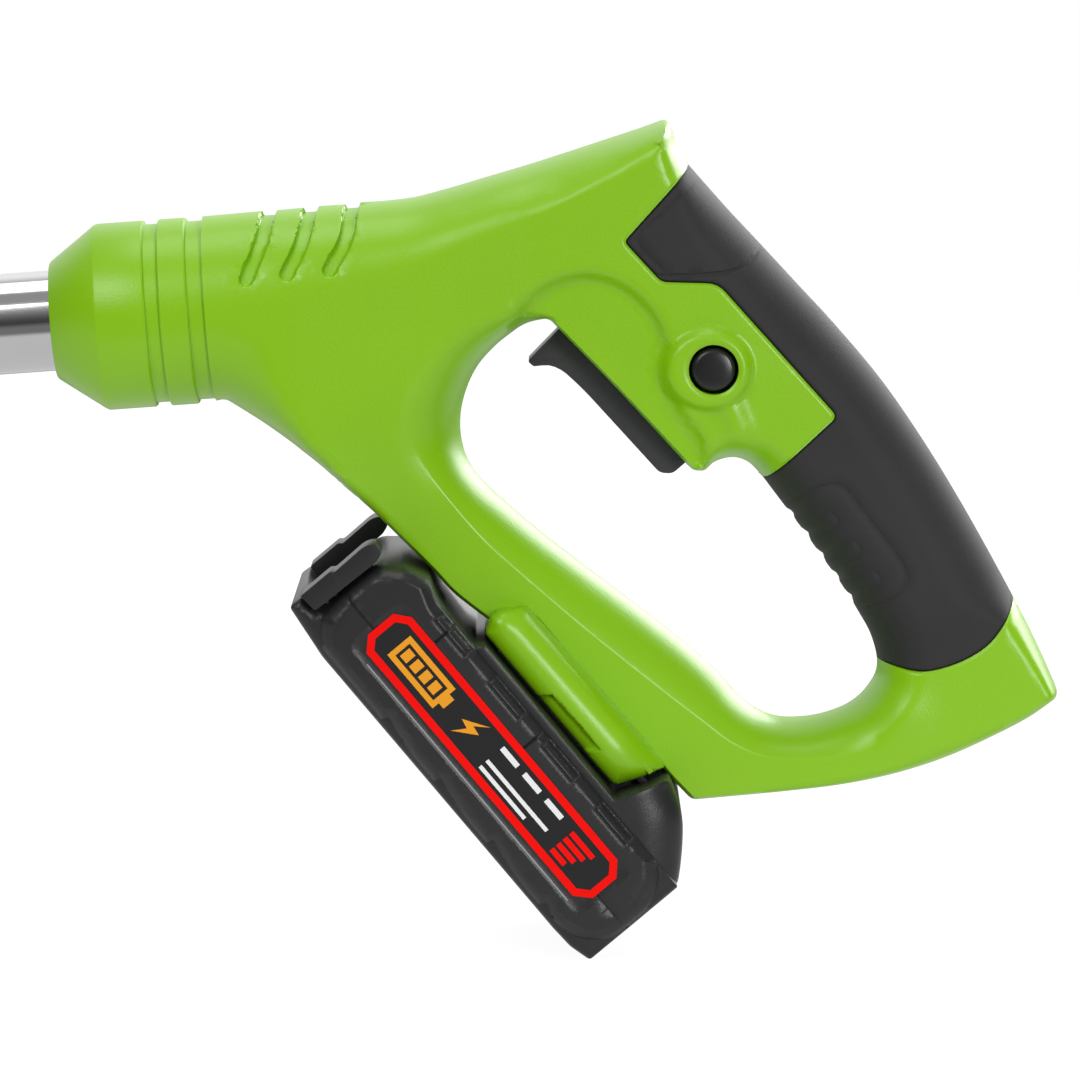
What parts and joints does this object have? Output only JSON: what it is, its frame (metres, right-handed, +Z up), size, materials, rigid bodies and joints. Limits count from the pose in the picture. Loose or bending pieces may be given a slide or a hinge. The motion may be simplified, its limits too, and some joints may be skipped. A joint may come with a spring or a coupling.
{
  "type": "lawn edger",
  "caption": "Battery lawn edger with a D-handle, a slide-on pack, a telescopic shaft, a tilting second handle and a wheeled head with a guarded upright blade.",
  "frame": {"origin": "centre of the bounding box, on the floor that the pack and the wheels rest on", "axes": "+X along the machine from the cutting head to the handle, +Z up, +Y to the operator's right"},
  "size_m": [1.0504, 0.1344, 0.2751],
  "materials": {
    "green_plastic": "semi-gloss moulded",
    "black_plastic": "satin moulded",
    "rubber": "matte soft-touch",
    "chrome": "polished tube",
    "steel": "plain",
    "board": "circuit board"
  },
  "bodies": {
    "handle": {"handle_shell_left": "green_plastic", "handle_shell_right": "green_plastic", "grip_rubber_left": "rubber", "grip_rubber_right": "rubber", "handle_screw_1": "steel", "handle_screw_2": "steel", "handle_screw_3": "steel", "handle_screw_4": "steel", "trigger_spring": "steel", "micro_switch": "black_plastic", "lock_off_spring": "steel", "shaft_clamp": "black_plastic", "control_board": "board", "battery_dock": "green_plastic", "dock_contacts": "black_plastic", "outer_tube": "chrome", "tube_ferrule": "black_plastic", "motor_cable": "black_plastic", "aux_clamp_lower": "black_plastic", "aux_clamp_upper": "black_plastic", "aux_screw_1": "steel", "aux_screw_2": "steel"},
    "trigger": {"trigger": "black_plastic"},
    "lock_button": {"lock_off_button": "black_plastic"},
    "battery_pack": {"battery_tray": "black_plastic", "battery_cover": "black_plastic", "cell_stack": "steel", "pack_board": "board"},
    "latch_left": {"battery_latch_left": "black_plastic"},
    "latch_right": {"battery_latch_right": "black_plastic"},
    "collar": {"twist_collar": "green_plastic"},
    "second_handle": {"aux_loop": "black_plastic", "aux_grip": "rubber", "aux_bolt": "steel"},
    "knob": {"aux_knob": "black_plastic"},
    "lower_shaft": {"inner_tube": "steel", "neck_socket": "green_plastic", "neck_screw": "steel", "arm_bolt": "steel"},
    "wheel_carrier": {"wheel_arm": "black_plastic", "wheel_axle": "steel"},
    "wing_nut": {"arm_wing_nut": "black_plastic"},
    "wheel_left": {"wheel_tyre_left": "rubber", "wheel_rim_left": "green_plastic"},
    "wheel_right": {"wheel_tyre_right": "rubber", "wheel_rim_right": "green_plastic"},
    "head": {"head_shell_left": "green_plastic", "head_shell_right": "green_plastic", "head_screw_1": "steel", "head_screw_2": "steel", "head_screw_3": "steel", "motor": "steel", "spindle_bearing": "steel", "blade_guard": "black_plastic", "guard_screw_1": "steel", "guard_screw_2": "steel"},
    "cutter": {"spindle": "steel", "blade_flange": "steel", "edging_blade": "steel", "blade_nut": "steel"}
  },
  "joints": [
    {"name": "trigger_pull", "type": "hinge", "parent": "handle", "child": "trigger", "pos_m": [0.40774, 0, 0.15119], "axis": [0, -1, 0], "range_deg": [0, 8], "stiffness_Nm_per_rad": 2, "springref_deg": -5.73, "deforming": ["trigger_spring"]},
    {"name": "lock_off_push", "type": "slide", "parent": "handle", "child": "lock_button", "axis": [0, 1, 0], "range_m": [0, 0.003], "stiffness_N_per_m": 400, "springref_m": -0.002, "deforming": ["lock_off_spring"]},
    {"name": "pack_slide", "type": "slide", "parent": "handle", "child": "battery_pack", "axis": [0.6428, 0, -0.766], "range_m": [0, 0.1]},
    {"name": "latch_left_squeeze", "type": "slide", "parent": "battery_pack", "child": "latch_left", "axis": [0, 1, 0], "range_m": [0, 0.002], "stiffness_N_per_m": 600, "springref_m": -0.002},
    {"name": "latch_right_squeeze", "type": "slide", "parent": "battery_pack", "child": "latch_right", "axis": [0, -1, 0], "range_m": [0, 0.002], "stiffness_N_per_m": 600, "springref_m": -0.002},
    {"name": "collar_twist", "type": "hinge", "parent": "handle", "child": "collar", "pos_m": [-0.13451, 0, 0.12579], "axis": [0.9974, 0, 0.0715], "range_deg": [-45, 45]},
    {"name": "telescope_slide", "type": "slide", "parent": "handle", "child": "lower_shaft", "axis": [-0.9974, 0, -0.0715], "range_m": [0, 0.2]},
    {"name": "second_handle_tilt", "type": "hinge", "parent": "handle", "child": "second_handle", "pos_m": [0.06811, 0, 0.16638], "axis": [0, 1, 0], "range_deg": [-30, 30]},
    {"name": "knob_turn", "type": "hinge", "parent": "second_handle", "child": "knob", "pos_m": [0.06811, 0.036, 0.16638], "axis": [0, 1, 0], "continuous": true},
    {"name": "head_turn", "type": "hinge", "parent": "lower_shaft", "child": "head", "pos_m": [-0.39185, 0, 0.10734], "axis": [-0.9974, 0, -0.0715], "range_deg": [0, 90]},
    {"name": "wheel_height", "type": "hinge", "parent": "lower_shaft", "child": "wheel_carrier", "pos_m": [-0.37396, 0, 0.08155], "axis": [0, -1, 0], "range_deg": [0, 25]},
    {"name": "wing_nut_turn", "type": "hinge", "parent": "lower_shaft", "child": "wing_nut", "pos_m": [-0.37396, 0.018, 0.08155], "axis": [0, 1, 0], "continuous": true},
    {"name": "wheel_left_spin", "type": "hinge", "parent": "wheel_carrier", "child": "wheel_left", "pos_m": [-0.3485, -0.033, 0.034], "axis": [0, 1, 0], "continuous": true},
    {"name": "wheel_right_spin", "type": "hinge", "parent": "wheel_carrier", "child": "wheel_right", "pos_m": [-0.3485, 0.033, 0.034], "axis": [0, 1, 0], "continuous": true},
    {"name": "blade_spin", "type": "hinge", "parent": "head", "child": "cutter", "pos_m": [-0.43873, -0.051, 0.10398], "axis": [0, 1, 0], "continuous": true}
  ]
}
